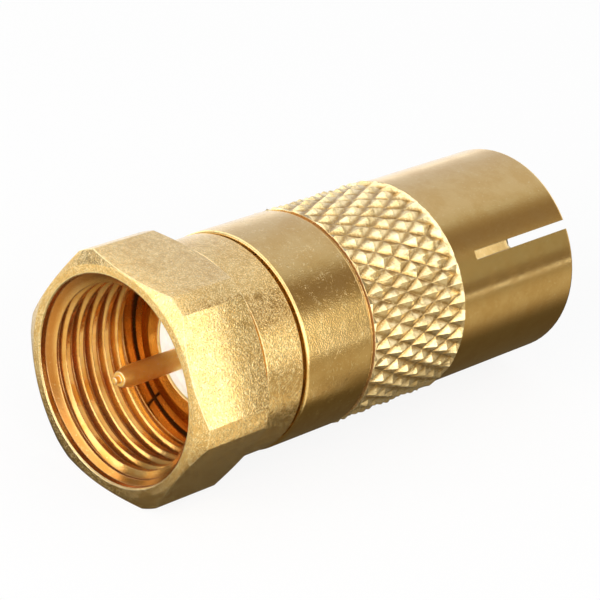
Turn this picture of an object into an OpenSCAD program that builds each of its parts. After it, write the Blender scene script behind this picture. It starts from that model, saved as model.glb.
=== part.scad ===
// Coaxial adapter: a screw-on F plug at one end and a slotted push-on aerial socket at the other.
// Every piece is turned about one axis. Stations along it are measured from the mouth of the
// coupling nut, and the finished adapter lies on a flat of that nut, with its axis along +X,
// +Z up and the origin on the surface it lies on, under the middle of its length.

/* [Coupling nut] */
// Width of the hexagon across its flats
hex_flats = 11.0; // [10.8:0.1:12]
// Height of the turned-down corners of the hexagon above its flats
corner_rise = 0.58; // [0.45:0.01:0.7]
// Length of the hexagon
hex_length = 4.36; // [3.9:0.02:6]
// Slope of the chamfers at both ends of the hexagon
hex_chamfer = 30; // [20:1:40]
// Depth below the flats of the edge of the flat face round the mouth
mouth_face_drop = 0.05; // [0.02:0.01:0.2]
// Depth below the flats of the edge of the hexagon's rear face
rear_face_drop = 0.02; // [0.01:0.01:0.2]
// Diameter of the plain mouth in front of the lead-in
mouth_d = 10.0; // [9.6:0.02:10.3]
// Chamfer on the edge of the mouth
mouth_edge = 0.07; // [0.03:0.01:0.1]
// Depth of the plain mouth
mouth_depth = 0.36; // [0.2:0.02:0.6]
// Slope of the lead-in behind it to the axis
lead_slope = 60; // [45:5:70]
// Minor diameter of the coupling thread
thread_minor_d = 8.86; // [8.66:0.02:9]
// Length of the round skirt behind the hexagon
skirt_length = 2.64; // [2.4:0.02:4]
// Wall of the skirt round the retaining ring
skirt_wall = 0.46; // [0.35:0.01:0.55]
// Length of the relief between the thread and the lip
relief_length = 1.5; // [1.2:0.05:2.2]
// Slope of the front wall of the relief to the axis
relief_slope = 60; // [30:5:75]
// Length of the lip at the back of the nut
lip_length = 0.75; // [0.5:0.05:1.2]
// Chamfer on the back edge of the skirt
skirt_edge = 0.1; // [0.05:0.01:0.2]

/* [Retaining ring] */
// Radial width of the split ring
ring_width = 0.72; // [0.6:0.01:0.8]
// Thickness of the split ring along the axis
ring_thickness = 0.5; // [0.35:0.01:0.7]
// Chamfer on the outer edges of the ring
ring_edge = 0.08; // [0.04:0.01:0.12]
// Depth by which the nose of the body holds the ring
ring_grip = 0.18; // [0.1:0.01:0.25]
// Width of the gap between the ends of the ring
ring_split = 0.14; // [0.1:0.02:1.5]
// Direction of the gap round the axis, from +Y towards +Z
ring_split_angle = -56; // [-180:1:180]

/* [Front body] */
// Diameter of the neck that the nut turns on
neck_d = 8.3; // [8.1:0.05:8.4]
// Diameter of the flat front face of the nose
nose_face_d = 6.9; // [6.6:0.05:7.4]
// Length of the nose in front of the ring groove
nose_length = 0.25; // [0.2:0.01:0.5]
// Length of the full-diameter rim between the nose's cone and the groove
nose_rim = 0.06; // [0.03:0.01:0.1]
// Depth of the ring groove
groove_depth = 0.65; // [0.45:0.01:0.75]
// Diameter of the plain band
band_d = 10.67; // [10:0.01:10.8]
// Length of the plain band
band_length = 4.3; // [3.2:0.05:7]
// Chamfer on both edges of the plain band
band_edge = 0.12; // [0.05:0.01:0.25]
// Length of the spigot pressed into the rear body
spigot_length = 3.0; // [2.4:0.05:3.6]
// Lead-in chamfer on the end of the spigot
spigot_lead = 0.25; // [0.1:0.01:0.4]
// Diameter of the bore behind the front insulator
body_bore_d = 4.4; // [3.6:0.1:5]
// Diameter of the cavity inside the spigot
cavity_d = 6.4; // [5.6:0.1:7]
// Thickness of the web between the front insulator and the cavity
web_length = 1.6; // [1:0.1:2.4]

/* [Rear body] */
// Bore of the push-on sleeve
sleeve_bore_d = 9.6; // [9.5:0.02:9.8]
// Wall of the push-on sleeve
sleeve_wall = 0.45; // [0.35:0.01:0.55]
// Length of the plain barrel behind the knurl
barrel_length = 8.3; // [7.5:0.05:12]
// Step that the rear insulator seats on
seat_step = 0.5; // [0.3:0.02:0.7]
// Chamfer on the outer edge of the barrel
barrel_edge = 0.14; // [0.05:0.01:0.2]
// Lead-in chamfer inside the end of the sleeve
sleeve_lead = 0.16; // [0.05:0.01:0.2]
// Width of the two slots in the sleeve
slot_width = 0.45; // [0.3:0.01:1]
// Length of the two slots
slot_length = 6.0; // [4:0.1:7]
// Direction of one slot round the axis, from +Y towards +Z
slot_angle = 141; // [0:1:180]

/* [Knurl] */
// Length of the knurled grip, with its front shoulder
grip_length = 6.52; // [4:0.02:10]
// Height of the knurl's points above the barrel
knurl_height = 0.15; // [0.1:0.01:0.3]
// Depth of the knurl from points to grooves
knurl_depth = 0.28; // [0.15:0.01:0.32]
// Number of points round the grip
knurl_count = 36; // [24:1:48]
// Angle of the grooves to the axis
knurl_angle = 28; // [20:1:45]
// Turn of the knurl's first point from +Y towards +Z
knurl_turn = 2; // [0:0.5:10]
// Width of the plain rim at each end of the knurl
knurl_rim = 0.12; // [0.08:0.01:0.3]
// Drop of those rims below the points
rim_drop = 0.07; // [0.04:0.01:0.14]
// Length of the chamfered shoulder in front of the knurl
shoulder_length = 0.2; // [0.1:0.01:0.5]
// Diameter of that shoulder, under the crests of the knurl
shoulder_d = 10.34; // [10.3:0.01:10.6]
// Height of that shoulder's chamfer
shoulder_height = 0.2; // [0.1:0.01:0.3]

/* [Insulators] */
// Diameter of the front insulator
front_insulator_d = 5.6; // [5:0.05:6]
// Length of the front insulator
front_insulator_length = 3.0; // [1.6:0.1:3.6]
// Depth of the front insulator behind the nose
insulator_recess = 0.12; // [0:0.01:0.4]
// Diameter of the dish in the face of the front insulator
dish_d = 4.74; // [2:0.02:4.9]
// Depth of the dish
dish_depth = 0.15; // [0.05:0.01:0.5]
// Length of the rear insulator
rear_insulator_length = 2.3; // [1.6:0.1:3]

/* [Centre contact] */
// Diameter of the free end of the centre pin
pin_d = 1.02; // [0.8:0.01:1.2]
// Diameter of the shank behind it, which the insulators hold
shank_d = 1.4; // [1.25:0.05:1.6]
// Length of the insulator's narrow hole in front of the shank's cone
shank_cover = 0.1; // [0.05:0.01:0.15]
// Depth of the pin's tip behind the mouth of the nut
pin_recess = 0.14; // [0:0.02:1]
// Length of the tapered stretch behind the pin's end face
pin_taper = 1.0; // [0.4:0.02:1.6]
// Diameter of the pin's end face
pin_face_d = 0.68; // [0.4:0.01:0.78]
// Length of the parting pip left on the end face
pip_length = 0.3; // [0.1:0.01:0.5]
// Diameter of the parting pip
pip_d = 0.34; // [0.2:0.01:0.38]
// Length of pin held in the socket contact
pin_hold = 2.5; // [1.5:0.1:3]
// Outer diameter of the socket contact
socket_d = 3.4; // [3.2:0.05:3.8]
// Bore of the socket contact
socket_bore_d = 2.4; // [2.2:0.02:2.6]
// Depth of the socket contact's mouth behind the end of the sleeve
socket_recess = 0.9; // [0.3:0.05:2]
// Thickness of metal between the pin and the socket's bore
socket_web = 1.4; // [0.8:0.1:2.4]
// Diameter of the collar that seats on the rear insulator
collar_d = 4.4; // [4:0.1:5]
// Length of that collar
collar_length = 0.8; // [0.5:0.05:1.2]
// Width of the saw cuts that make the socket's four leaves
leaf_cut = 0.3; // [0.15:0.01:0.4]
// Length of those saw cuts
leaf_length = 5.6; // [3:0.1:6]
// Lead-in chamfer in the socket's mouth
socket_lead = 0.25; // [0.1:0.01:0.3]

/* [Fits] */
// Radial clearance of the nut on the neck
nut_clearance = 0.08; // [0.03:0.01:0.1]
// Gap between the skirt and the plain band
nut_gap = 0.18; // [0.05:0.01:0.3]
// Gap between the lip of the nut and the ring
lip_gap = 0.12; // [0.05:0.01:0.2]
// Gap on each side of the ring in its groove
ring_gap = 0.03; // [0.02:0.01:0.08]
// Radial gap between the ring and the relief of the nut
relief_gap = 0.12; // [0.08:0.01:0.2]

/* [Hidden] */
$fn = 96;

gold = [0.83, 0.68, 0.38];
pale_gold = [0.88, 0.76, 0.46];
deep_gold = [0.76, 0.52, 0.2];
white_plastic = [0.94, 0.93, 0.9];

// How far a cutting shape runs past what it cuts
past = 1;
// How far the knurl's ring and the turned core reach into each other
lap = 0.02;

// Retaining ring and its fits
ring_inner_r = neck_d / 2 - ring_grip;
ring_outer_r = ring_inner_r + ring_width;
relief_r = ring_outer_r + relief_gap;
skirt_r = relief_r + skirt_wall;

// Stations of the nut, from its mouth
nut_length = hex_length + skirt_length;
lip_front = nut_length - lip_length;
relief_front = lip_front - relief_length;
thread_front = mouth_depth + (mouth_d - thread_minor_d) / 2 / tan(lead_slope);

// Stations of the ring and the front body
ring_rear = lip_front - lip_gap;
ring_front = ring_rear - ring_thickness;
groove_rear = ring_rear + ring_gap;
groove_front = ring_front - ring_gap;
nose_front = groove_front - nose_length;
band_front = nut_length + nut_gap;
band_rear = band_front + band_length;
spigot_rear = band_rear + spigot_length;
insulator_front = nose_front + insulator_recess;
dish_floor = insulator_front + dish_depth;
pocket_rear = insulator_front + front_insulator_length;
web_rear = pocket_rear + web_length;

// Stations and radii of the rear body
spigot_r = sleeve_bore_d / 2 - seat_step;
barrel_r = sleeve_bore_d / 2 + sleeve_wall;
grip_rear = band_rear + grip_length;
overall_length = grip_rear + barrel_length;
insulator_rear = spigot_rear + rear_insulator_length;

// Knurl: rings of points and grooves by turns, half a pitch apart
knurl_front = band_rear + shoulder_length;
knurl_r = barrel_r + knurl_height;
groove_r = knurl_r - knurl_depth;
rim_r = knurl_r - rim_drop;
core_r = groove_r - lap;
knurl_sides = 2 * knurl_count;
knurl_run = grip_rear - knurl_front - 2 * knurl_rim;
half_pitch = PI * knurl_r / knurl_count / tan(knurl_angle);
knurl_rows = max(2, round(knurl_run / half_pitch));

// Shank of the pin: a cone at 45 degrees seats in the front insulator
shank_front = dish_floor + shank_cover;
shank_full = shank_front + (shank_d - pin_d) / 2;

// Socket contact
collar_front = spigot_rear - collar_length;
pin_rear = collar_front + pin_hold;
socket_rear = overall_length - socket_recess;
socket_floor = pin_rear + socket_web;

// A solid turned about +Z from a half section of [radius, station] points
module turned(section) {
    rotate_extrude() polygon(section);
}

// Lays a piece turned about +Z down along +X, on a flat of the hexagon
module laid_down() {
    translate([-overall_length / 2, 0, hex_flats / 2]) rotate([90, 0, 90]) children();
}

// A saw cut right across the axis, from a station to past another
module saw_cut(width, from, to, across, angle) {
    rotate([0, 0, angle])
        translate([-across, -width / 2, from])
            cube([2 * across, width, to - from + past]);
}

// The turned outline that a hexagon bar is cut back to
module hex_blank() {
    flat_r = hex_flats / 2;
    corner_r = flat_r + corner_rise;
    front_r = flat_r - mouth_face_drop;
    rear_r = flat_r - rear_face_drop;
    turned([
        [0, 0],
        [front_r, 0],
        [corner_r, (corner_r - front_r) * tan(hex_chamfer)],
        [corner_r, hex_length - (corner_r - rear_r) * tan(hex_chamfer)],
        [rear_r, hex_length],
        [0, hex_length]
    ]);
}

module hexagon() {
    intersection() {
        translate([0, 0, -past])
            cylinder(d = hex_flats / cos(30), h = hex_length + 2 * past, $fn = 6);
        hex_blank();
    }
}

// The bore of the nut: plain mouth, lead-in, thread, relief round the ring, and the lip's hole
module nut_bore() {
    mouth_r = mouth_d / 2;
    minor_r = thread_minor_d / 2;
    lip_r = neck_d / 2 + nut_clearance;
    turned([
        [0, -past],
        [mouth_r + mouth_edge, -past],
        [mouth_r + mouth_edge, 0],
        [mouth_r, mouth_edge],
        [mouth_r, mouth_depth],
        [minor_r, thread_front],
        [minor_r, relief_front],
        [relief_r, relief_front + (relief_r - minor_r) / tan(relief_slope)],
        [relief_r, lip_front],
        [lip_r, lip_front],
        [lip_r, nut_length + past],
        [0, nut_length + past]
    ]);
}

module coupling_nut() {
    color(gold) laid_down() difference() {
        union() {
            hexagon();
            turned([
                [0, hex_length - past],
                [skirt_r, hex_length - past],
                [skirt_r, nut_length - skirt_edge],
                [skirt_r - skirt_edge, nut_length],
                [0, nut_length]
            ]);
        }
        nut_bore();
    }
}

// A flat ring with a gap, sprung open in the relief behind the thread
module retaining_ring() {
    color(deep_gold) laid_down() difference() {
        turned([
            [ring_inner_r, ring_front],
            [ring_outer_r - ring_edge, ring_front],
            [ring_outer_r, ring_front + ring_edge],
            [ring_outer_r, ring_rear - ring_edge],
            [ring_outer_r - ring_edge, ring_rear],
            [ring_inner_r, ring_rear]
        ]);
        rotate([0, 0, ring_split_angle])
            translate([0, -ring_split / 2, ring_front - past])
                cube([ring_outer_r + past, ring_split, ring_thickness + 2 * past]);
    }
}

// Nose, ring groove, neck, plain band and spigot in one turning
module front_body() {
    neck_r = neck_d / 2;
    band_r = band_d / 2;
    pocket_r = front_insulator_d / 2;
    color(gold) laid_down() turned([
        [pocket_r, nose_front],
        [nose_face_d / 2, nose_front],
        [neck_r, groove_front - nose_rim],
        [neck_r, groove_front],
        [neck_r - groove_depth, groove_front],
        [neck_r - groove_depth, groove_rear],
        [neck_r, groove_rear],
        [neck_r, band_front],
        [band_r - band_edge, band_front],
        [band_r, band_front + band_edge],
        [band_r, band_rear - band_edge],
        [band_r - band_edge, band_rear],
        [spigot_r, band_rear],
        [spigot_r, spigot_rear - spigot_lead],
        [spigot_r - spigot_lead, spigot_rear],
        [cavity_d / 2, spigot_rear],
        [cavity_d / 2, web_rear],
        [body_bore_d / 2, web_rear],
        [body_bore_d / 2, pocket_rear],
        [pocket_r, pocket_rear]
    ]);
}

// The turned core of the rear body, with the barrel and the seats inside it
module rear_blank() {
    sleeve_r = sleeve_bore_d / 2;
    shoulder_r = shoulder_d / 2;
    turned([
        [spigot_r, band_rear],
        [shoulder_r - shoulder_height, band_rear],
        [shoulder_r, knurl_front - lap],
        [shoulder_r, knurl_front + lap],
        [core_r, knurl_front + lap],
        [core_r, grip_rear - lap],
        [barrel_r, grip_rear - lap],
        [barrel_r, overall_length - barrel_edge],
        [barrel_r - barrel_edge, overall_length],
        [sleeve_r + sleeve_lead, overall_length],
        [sleeve_r, overall_length - sleeve_lead],
        [sleeve_r, spigot_rear],
        [spigot_r, spigot_rear]
    ]);
}

// Diamond knurl: a closed ring whose outside rises to a point and falls to a groove by turns
module diamond_knurl() {
    inner_r = (sleeve_bore_d / 2 + core_r) / 2;
    step = 360 / knurl_sides;

    function row_station(row) = knurl_front + knurl_rim + row * knurl_run / knurl_rows;
    function row_radius(row, side) = (row + side) % 2 == 0 ? groove_r : knurl_r;
    function corner(r, station, side) = [r * cos(side * step), r * sin(side * step), station];

    rings = concat(
        [[for (side = [0:knurl_sides - 1]) corner(inner_r, knurl_front, side)],
         [for (side = [0:knurl_sides - 1]) corner(rim_r, knurl_front, side)]],
        [for (row = [0:knurl_rows])
            [for (side = [0:knurl_sides - 1])
                corner(row_radius(row, side), row_station(row), side)]],
        [[for (side = [0:knurl_sides - 1]) corner(rim_r, grip_rear, side)],
         [for (side = [0:knurl_sides - 1]) corner(inner_r, grip_rear, side)]]
    );
    function at(ring, side) = (ring % len(rings)) * knurl_sides + side % knurl_sides;

    // Each patch is folded along the groove that crosses it
    faces = [for (ring = [0:len(rings) - 1], side = [0:knurl_sides - 1])
        let (a = at(ring, side), b = at(ring, side + 1))
        let (c = at(ring + 1, side + 1), d = at(ring + 1, side))
        each (ring + side) % 2 == 0 ? [[a, c, b], [a, d, c]] : [[a, d, b], [b, d, c]]];

    polyhedron(points = [for (ring = rings) each ring], faces = faces);
}

module rear_body() {
    color(pale_gold) laid_down() difference() {
        union() {
            rear_blank();
            rotate([0, 0, knurl_turn]) diamond_knurl();
        }
        saw_cut(slot_width, overall_length - slot_length, overall_length,
                knurl_r + past, slot_angle);
    }
}

// White plug in the nose that carries the centre pin
module front_insulator() {
    color(white_plastic) laid_down() turned([
        [pin_d / 2, dish_floor],
        [dish_d / 2 - dish_depth, dish_floor],
        [dish_d / 2, insulator_front],
        [front_insulator_d / 2, insulator_front],
        [front_insulator_d / 2, pocket_rear],
        [shank_d / 2, pocket_rear],
        [shank_d / 2, shank_full],
        [pin_d / 2, shank_front]
    ]);
}

// White disc at the bottom of the sleeve that carries the socket contact
module rear_insulator() {
    color(white_plastic) laid_down() turned([
        [socket_d / 2, spigot_rear],
        [sleeve_bore_d / 2, spigot_rear],
        [sleeve_bore_d / 2, insulator_rear],
        [socket_d / 2, insulator_rear]
    ]);
}

module centre_pin() {
    face_station = pin_recess + pip_length;
    color(deep_gold) laid_down() turned([
        [0, pin_recess],
        [pip_d / 2, pin_recess],
        [pip_d / 2, face_station],
        [pin_face_d / 2, face_station],
        [pin_d / 2, face_station + pin_taper],
        [pin_d / 2, shank_front],
        [shank_d / 2, shank_full],
        [shank_d / 2, pin_rear],
        [0, pin_rear]
    ]);
}

// Four-leaved socket, bored at its front end for the pin
module socket_contact() {
    color(gold) laid_down() difference() {
        turned([
            [shank_d / 2, collar_front],
            [collar_d / 2, collar_front],
            [collar_d / 2, spigot_rear],
            [socket_d / 2, spigot_rear],
            [socket_d / 2, socket_rear],
            [socket_bore_d / 2 + socket_lead, socket_rear],
            [socket_bore_d / 2, socket_rear - socket_lead],
            [socket_bore_d / 2, socket_floor],
            [0, socket_floor],
            [0, pin_rear],
            [shank_d / 2, pin_rear]
        ]);
        for (turn = [0, 90])
            saw_cut(leaf_cut, socket_rear - leaf_length, socket_rear,
                    socket_d, slot_angle + 45 + turn);
    }
}

coupling_nut();
retaining_ring();
front_body();
rear_body();
front_insulator();
rear_insulator();
centre_pin();
socket_contact();
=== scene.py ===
"""Dressed model of a coaxial adapter: a captive hexagonal nut at one end, a slotted sleeve at the other.

Every piece is turned about the adapter's axis. Sections are written in millimetres as stations
from the mouth of the coupling nut and radii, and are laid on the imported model's own axis.
"""

import logging
import math
from dataclasses import dataclass
from enum import Enum
from typing import Any, Optional, Sequence

import bmesh
import bpy
from mathutils import Euler, Matrix, Vector, noise


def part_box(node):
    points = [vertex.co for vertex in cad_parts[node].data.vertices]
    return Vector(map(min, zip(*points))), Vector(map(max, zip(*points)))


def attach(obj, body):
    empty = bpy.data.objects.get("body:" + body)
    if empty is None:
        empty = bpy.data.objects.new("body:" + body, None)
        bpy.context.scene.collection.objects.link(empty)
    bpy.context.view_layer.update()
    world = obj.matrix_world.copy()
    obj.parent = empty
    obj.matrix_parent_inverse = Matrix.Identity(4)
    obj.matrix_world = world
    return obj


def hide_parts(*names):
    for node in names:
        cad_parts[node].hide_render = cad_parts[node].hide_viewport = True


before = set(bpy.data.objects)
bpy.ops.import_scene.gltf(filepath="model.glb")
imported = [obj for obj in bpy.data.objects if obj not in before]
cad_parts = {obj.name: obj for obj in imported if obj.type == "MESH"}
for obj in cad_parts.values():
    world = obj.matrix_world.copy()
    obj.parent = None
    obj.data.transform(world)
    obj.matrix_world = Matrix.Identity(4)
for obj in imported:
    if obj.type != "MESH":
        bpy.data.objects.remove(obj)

LOG = logging.getLogger("adapter")
MM = 0.001
FULL_TURN = 2 * math.pi
# Turns a bar that stands along Z so that it lies along the axis.
ALONG = Matrix.Rotation(math.pi / 2, 4, "Y")
# Vertices nearer than this, in mm, are merged.
MERGE_DISTANCE = 1e-5
# Faces that meet at less than this angle are shaded as one.
SHARP_ANGLE = math.radians(12)
Triple = tuple[float, float, float]
Colour = Triple
Span = tuple[float, float]
Stops = tuple[tuple[float, Colour], ...]
Solid = bmesh.types.BMesh
Socket = bpy.types.NodeSocket


# ---------------------------------------------------------------- turning and cutting


@dataclass(frozen=True)
class Corner:
    """One corner of a half section.

    Args:
        station: distance from the mouth of the nut, in mm.
        radius: distance from the axis, in mm.
        edge: size of the round on this corner, in mm.
    """

    station: float
    radius: float
    edge: float = 0.0


@dataclass(frozen=True)
class Axis:
    """The adapter's axis in the frame, starting at the mouth of the coupling nut."""

    mouth: Vector

    @classmethod
    def of_frame(cls) -> "Axis":
        """Reads the axis from the box of the coupling nut."""
        low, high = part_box("coupling_nut")
        return cls(Vector((low.x, (low.y + high.y) / 2, (low.z + high.z) / 2)))

    def front(self, node: str) -> float:
        """Station of the front end of a CAD node, in mm."""
        return (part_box(node)[0].x - self.mouth.x) / MM

    def rear(self, node: str) -> float:
        """Station of the rear end of a CAD node, in mm."""
        return (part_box(node)[1].x - self.mouth.x) / MM

    def ends(self, node: str) -> Span:
        """Stations of the front and rear ends of a CAD node, in mm."""
        return self.front(node), self.rear(node)

    def lay(self, bm: Solid) -> None:
        """Takes a mesh in millimetres to its place in the frame."""
        bmesh.ops.scale(bm, vec=(MM, MM, MM), verts=bm.verts)
        bmesh.ops.translate(bm, vec=self.mouth, verts=bm.verts)


# Height of the axis over the floor, in mm.
AXIS_HEIGHT = Axis.of_frame().mouth.z / MM


class Join(Enum):
    """How two solids are combined."""

    ADD = "UNION"
    CUT = "DIFFERENCE"
    KEEP_COMMON = "INTERSECT"


class Rounding(Enum):
    """What a round is put on."""

    CORNERS = "VERTICES"
    EDGES = "EDGES"


def clean(bm: Solid) -> None:
    """Merges a mesh's seams and poles, drops loose edges and turns every face outwards."""
    bmesh.ops.remove_doubles(bm, verts=bm.verts, dist=MERGE_DISTANCE)
    loose = [edge for edge in bm.edges if not edge.link_faces]
    bmesh.ops.delete(bm, geom=loose, context="EDGES")
    bmesh.ops.recalc_face_normals(bm, faces=bm.faces)


def rounded(
    bm: Solid,
    geom: Sequence[Any],
    size: float,
    what: Rounding = Rounding.CORNERS,
    segments: int = 3,
) -> None:
    """Rounds some corners or edges.

    Args:
        bm: the mesh, in mm.
        geom: its corners or edges.
        size: size of the round, in mm.
        what: whether these are corners or edges.
        segments: steps of the round; one gives a flat.
    """
    bmesh.ops.bevel(
        bm,
        geom=geom,
        offset=size,
        offset_type="OFFSET",
        segments=segments,
        profile=0.5,
        affect=what.value,
        clamp_overlap=what is Rounding.EDGES,
        material=-1,
    )


def swung(bm: Solid, angle: float) -> Solid:
    """Turns a mesh round the axis, from +Y towards +Z, by an angle in radians."""
    bmesh.ops.rotate(bm, cent=(0, 0, 0), matrix=Matrix.Rotation(angle, 3, "X"), verts=bm.verts)
    return bm


def turned(section: Sequence[Corner], steps: int = 144) -> Solid:
    """Turns a half section about the axis into a closed solid.

    Args:
        section: the corners in order round the section.
        steps: how many steps the turn has.

    Returns:
        The solid, in mm, with the axis along X.
    """
    bm = bmesh.new()
    points = [bm.verts.new((c.station, c.radius, 0.0)) for c in section]
    bm.faces.new(points)
    for size in sorted({c.edge for c in section if c.edge}):
        rounded(bm, [v for v, c in zip(points, section) if c.edge == size], size)
    bmesh.ops.delete(bm, geom=bm.faces[:], context="FACES_ONLY")
    bmesh.ops.spin(
        bm,
        geom=bm.verts[:] + bm.edges[:],
        cent=(0, 0, 0),
        axis=(1, 0, 0),
        angle=FULL_TURN,
        steps=steps,
        use_merge=True,
    )
    clean(bm)
    return bm


def bar(sides: int, radius: float, length: float, lie: Matrix = ALONG) -> Solid:
    """A regular bar, centred on its middle.

    Args:
        sides: number of sides.
        radius: distance from its middle line to a corner, in mm.
        length: length of the bar, in mm.
        lie: how it is turned from standing along Z; along the axis, its first corner is on +Y.

    Returns:
        The bar as a closed solid.
    """
    bm = bmesh.new()
    bmesh.ops.create_cone(
        bm,
        cap_ends=True,
        segments=sides,
        radius1=radius,
        radius2=radius,
        depth=length,
        matrix=lie,
    )
    return bm


def saw_blade(width: float, reach: Span, ends: Span, angle: float) -> Solid:
    """The slab that a saw cut takes away.

    Args:
        width: width of the cut, in mm.
        reach: distances from the axis between which it cuts, in mm; below zero is the far side.
        ends: stations between which it cuts.
        angle: direction of the cut round the axis, in radians from +Y towards +Z.

    Returns:
        The slab as a closed solid.
    """
    bm = bmesh.new()
    bmesh.ops.create_cube(bm, size=1.0)
    bmesh.ops.scale(bm, vec=(ends[1] - ends[0], reach[1] - reach[0], width), verts=bm.verts)
    bmesh.ops.translate(bm, vec=(sum(ends) / 2, sum(reach) / 2, 0), verts=bm.verts)
    return swung(bm, angle)


def linked(bm: Solid, name: str) -> bpy.types.Object:
    """Makes a mesh an object of the scene.

    Args:
        bm: the mesh; it is freed.
        name: the object's name.

    Returns:
        The new object.
    """
    mesh = bpy.data.meshes.new(name)
    bm.to_mesh(mesh)
    bm.free()
    obj = bpy.data.objects.new(name, mesh)
    bpy.context.scene.collection.objects.link(obj)
    return obj


def combined(base: Solid, tool: Solid, how: Join) -> Solid:
    """Combines two solids exactly.

    Args:
        base: the solid that is worked on; it is freed.
        tool: the solid that is added or cut away; it is freed.
        how: the way that they are combined.

    Returns:
        The new solid.
    """
    objects = [linked(base, "base"), linked(tool, "tool")]
    modifier = objects[0].modifiers.new("join", "BOOLEAN")
    modifier.operation = how.value
    modifier.solver = "EXACT"
    modifier.object = objects[1]
    result = bmesh.new()
    result.from_object(objects[0], bpy.context.evaluated_depsgraph_get())
    for obj in objects:
        mesh = obj.data
        bpy.data.objects.remove(obj)
        bpy.data.meshes.remove(mesh)
    clean(result)
    return result


# ---------------------------------------------------------------- shader nodes


class Nodes:
    """Adds nodes to a tree, sets their sockets and links them."""

    def __init__(self, tree: bpy.types.NodeTree) -> None:
        """Keeps the tree."""
        self.tree = tree

    def add(
        self, kind: str, settings: Optional[dict[str, Any]] = None, **sockets: Any
    ) -> bpy.types.Node:
        """Adds a node.

        Args:
            kind: its type, without the word ShaderNode.
            settings: properties of the node.
            **sockets: values or outputs for its inputs, with _ for a space in a name.

        Returns:
            The new node.
        """
        node = self.tree.nodes.new(kind if kind.startswith("Node") else "ShaderNode" + kind)
        for name, value in (settings or {}).items():
            setattr(node, name, value)
        for name, value in sockets.items():
            self.feed(self.socket(node, name), value)
        return node

    @staticmethod
    def socket(node: bpy.types.Node, name: str) -> Socket:
        """Finds an input by name, or by number after the letter i."""
        numbered = name[0] == "i" and name[1:].isdigit()
        return node.inputs[int(name[1:]) if numbered else name.replace("_", " ")]

    def feed(self, socket: Socket, value: Any) -> None:
        """Fills an input.

        Args:
            socket: the input.
            value: an output to link to it, or its plain value.
        """
        if isinstance(value, Socket):
            self.tree.links.new(value, socket)
        else:
            socket.default_value = value

    def maths(self, operation: str, *values: Any) -> Socket:
        """One step of arithmetic.

        Args:
            operation: the Math node's operation.
            *values: numbers or outputs.

        Returns:
            The result's output.
        """
        return self.add(
            "Math", {"operation": operation}, **{f"i{n}": v for n, v in enumerate(values)}
        ).outputs[0]

    def vectors(self, operation: str, first: Any, second: Any = (0.0, 0.0, 0.0)) -> Any:
        """One step of vector arithmetic; returns the node's outputs."""
        return self.add("VectorMath", {"operation": operation}, i0=first, i1=second).outputs

    def ramp(
        self, value: Any, low: Any, high: Any, to_low: float = 0.0, to_high: float = 1.0
    ) -> Socket:
        """A smooth rise between two levels.

        Args:
            value: what the rise is read by.
            low: where it starts.
            high: where it ends.
            to_low: the level before it.
            to_high: the level after it.

        Returns:
            The level's output.
        """
        smooth = {"interpolation_type": "SMOOTHSTEP"}
        levels = {"From_Min": low, "From_Max": high, "To_Min": to_low, "To_Max": to_high}
        return self.add("MapRange", smooth, Value=value, **levels).outputs["Result"]

    def between(self, value: Any, rise: Span, fall: Span) -> Socket:
        """Mask that rises over one span of the value and falls over the next."""
        return self.maths("MULTIPLY", self.ramp(value, *rise), self.ramp(value, *fall, 1.0, 0.0))

    def blend(self, amount: Any, first: Any, second: Any) -> Socket:
        """Blends two colours.

        Args:
            amount: how much of the second colour there is, from 0 to 1.
            first: a colour or an output.
            second: a colour or an output.

        Returns:
            The colour's output.
        """
        node = self.add("Mix", {"data_type": "RGBA"}, i0=amount)
        for socket, colour in ((node.inputs[6], first), (node.inputs[7], second)):
            self.feed(socket, colour if isinstance(colour, Socket) else (*colour, 1.0))
        return node.outputs[2]

    def mixed(self, amount: Any, first: Any, second: Any) -> Socket:
        """Goes from one number to another by an amount; returns the number."""
        return self.add("Mix", {"data_type": "FLOAT"}, i0=amount, i2=first, i3=second).outputs[0]

    def steps(self, value: Any, stops: Stops) -> Socket:
        """Runs through a row of colours.

        Args:
            value: what the row is read by.
            stops: each colour with the value that it stands at, in rising order.

        Returns:
            The colour.
        """
        low, high = stops[0][0], stops[-1][0]
        share = self.add("MapRange", Value=value, From_Min=low, From_Max=high).outputs["Result"]
        node = self.add("ValToRGB", Fac=share)
        row = node.color_ramp.elements
        row.remove(row[-1])
        row[0].color = (*stops[0][1], 1.0)
        row[0].position = 0.0
        for at, colour in stops[1:]:
            row.new((at - low) / (high - low)).color = (*colour, 1.0)
        return node.outputs[0]

    def noise(self, vector: Any, scale: Any, detail: float = 2.0, roughness: float = 0.5) -> Socket:
        """A noise value between 0 and 1; returns its output."""
        node = self.add("TexNoise", Vector=vector, Scale=scale, Detail=detail, Roughness=roughness)
        return node.outputs[0]

    def stretched(self, vector: Any, scale: Triple, turn: Triple) -> Socket:
        """Turns and stretches a pattern's coordinates; returns them."""
        turned_first = self.add("Mapping", Vector=vector, Rotation=turn)
        return self.add("Mapping", Vector=turned_first.outputs[0], Scale=scale).outputs[0]


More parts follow.
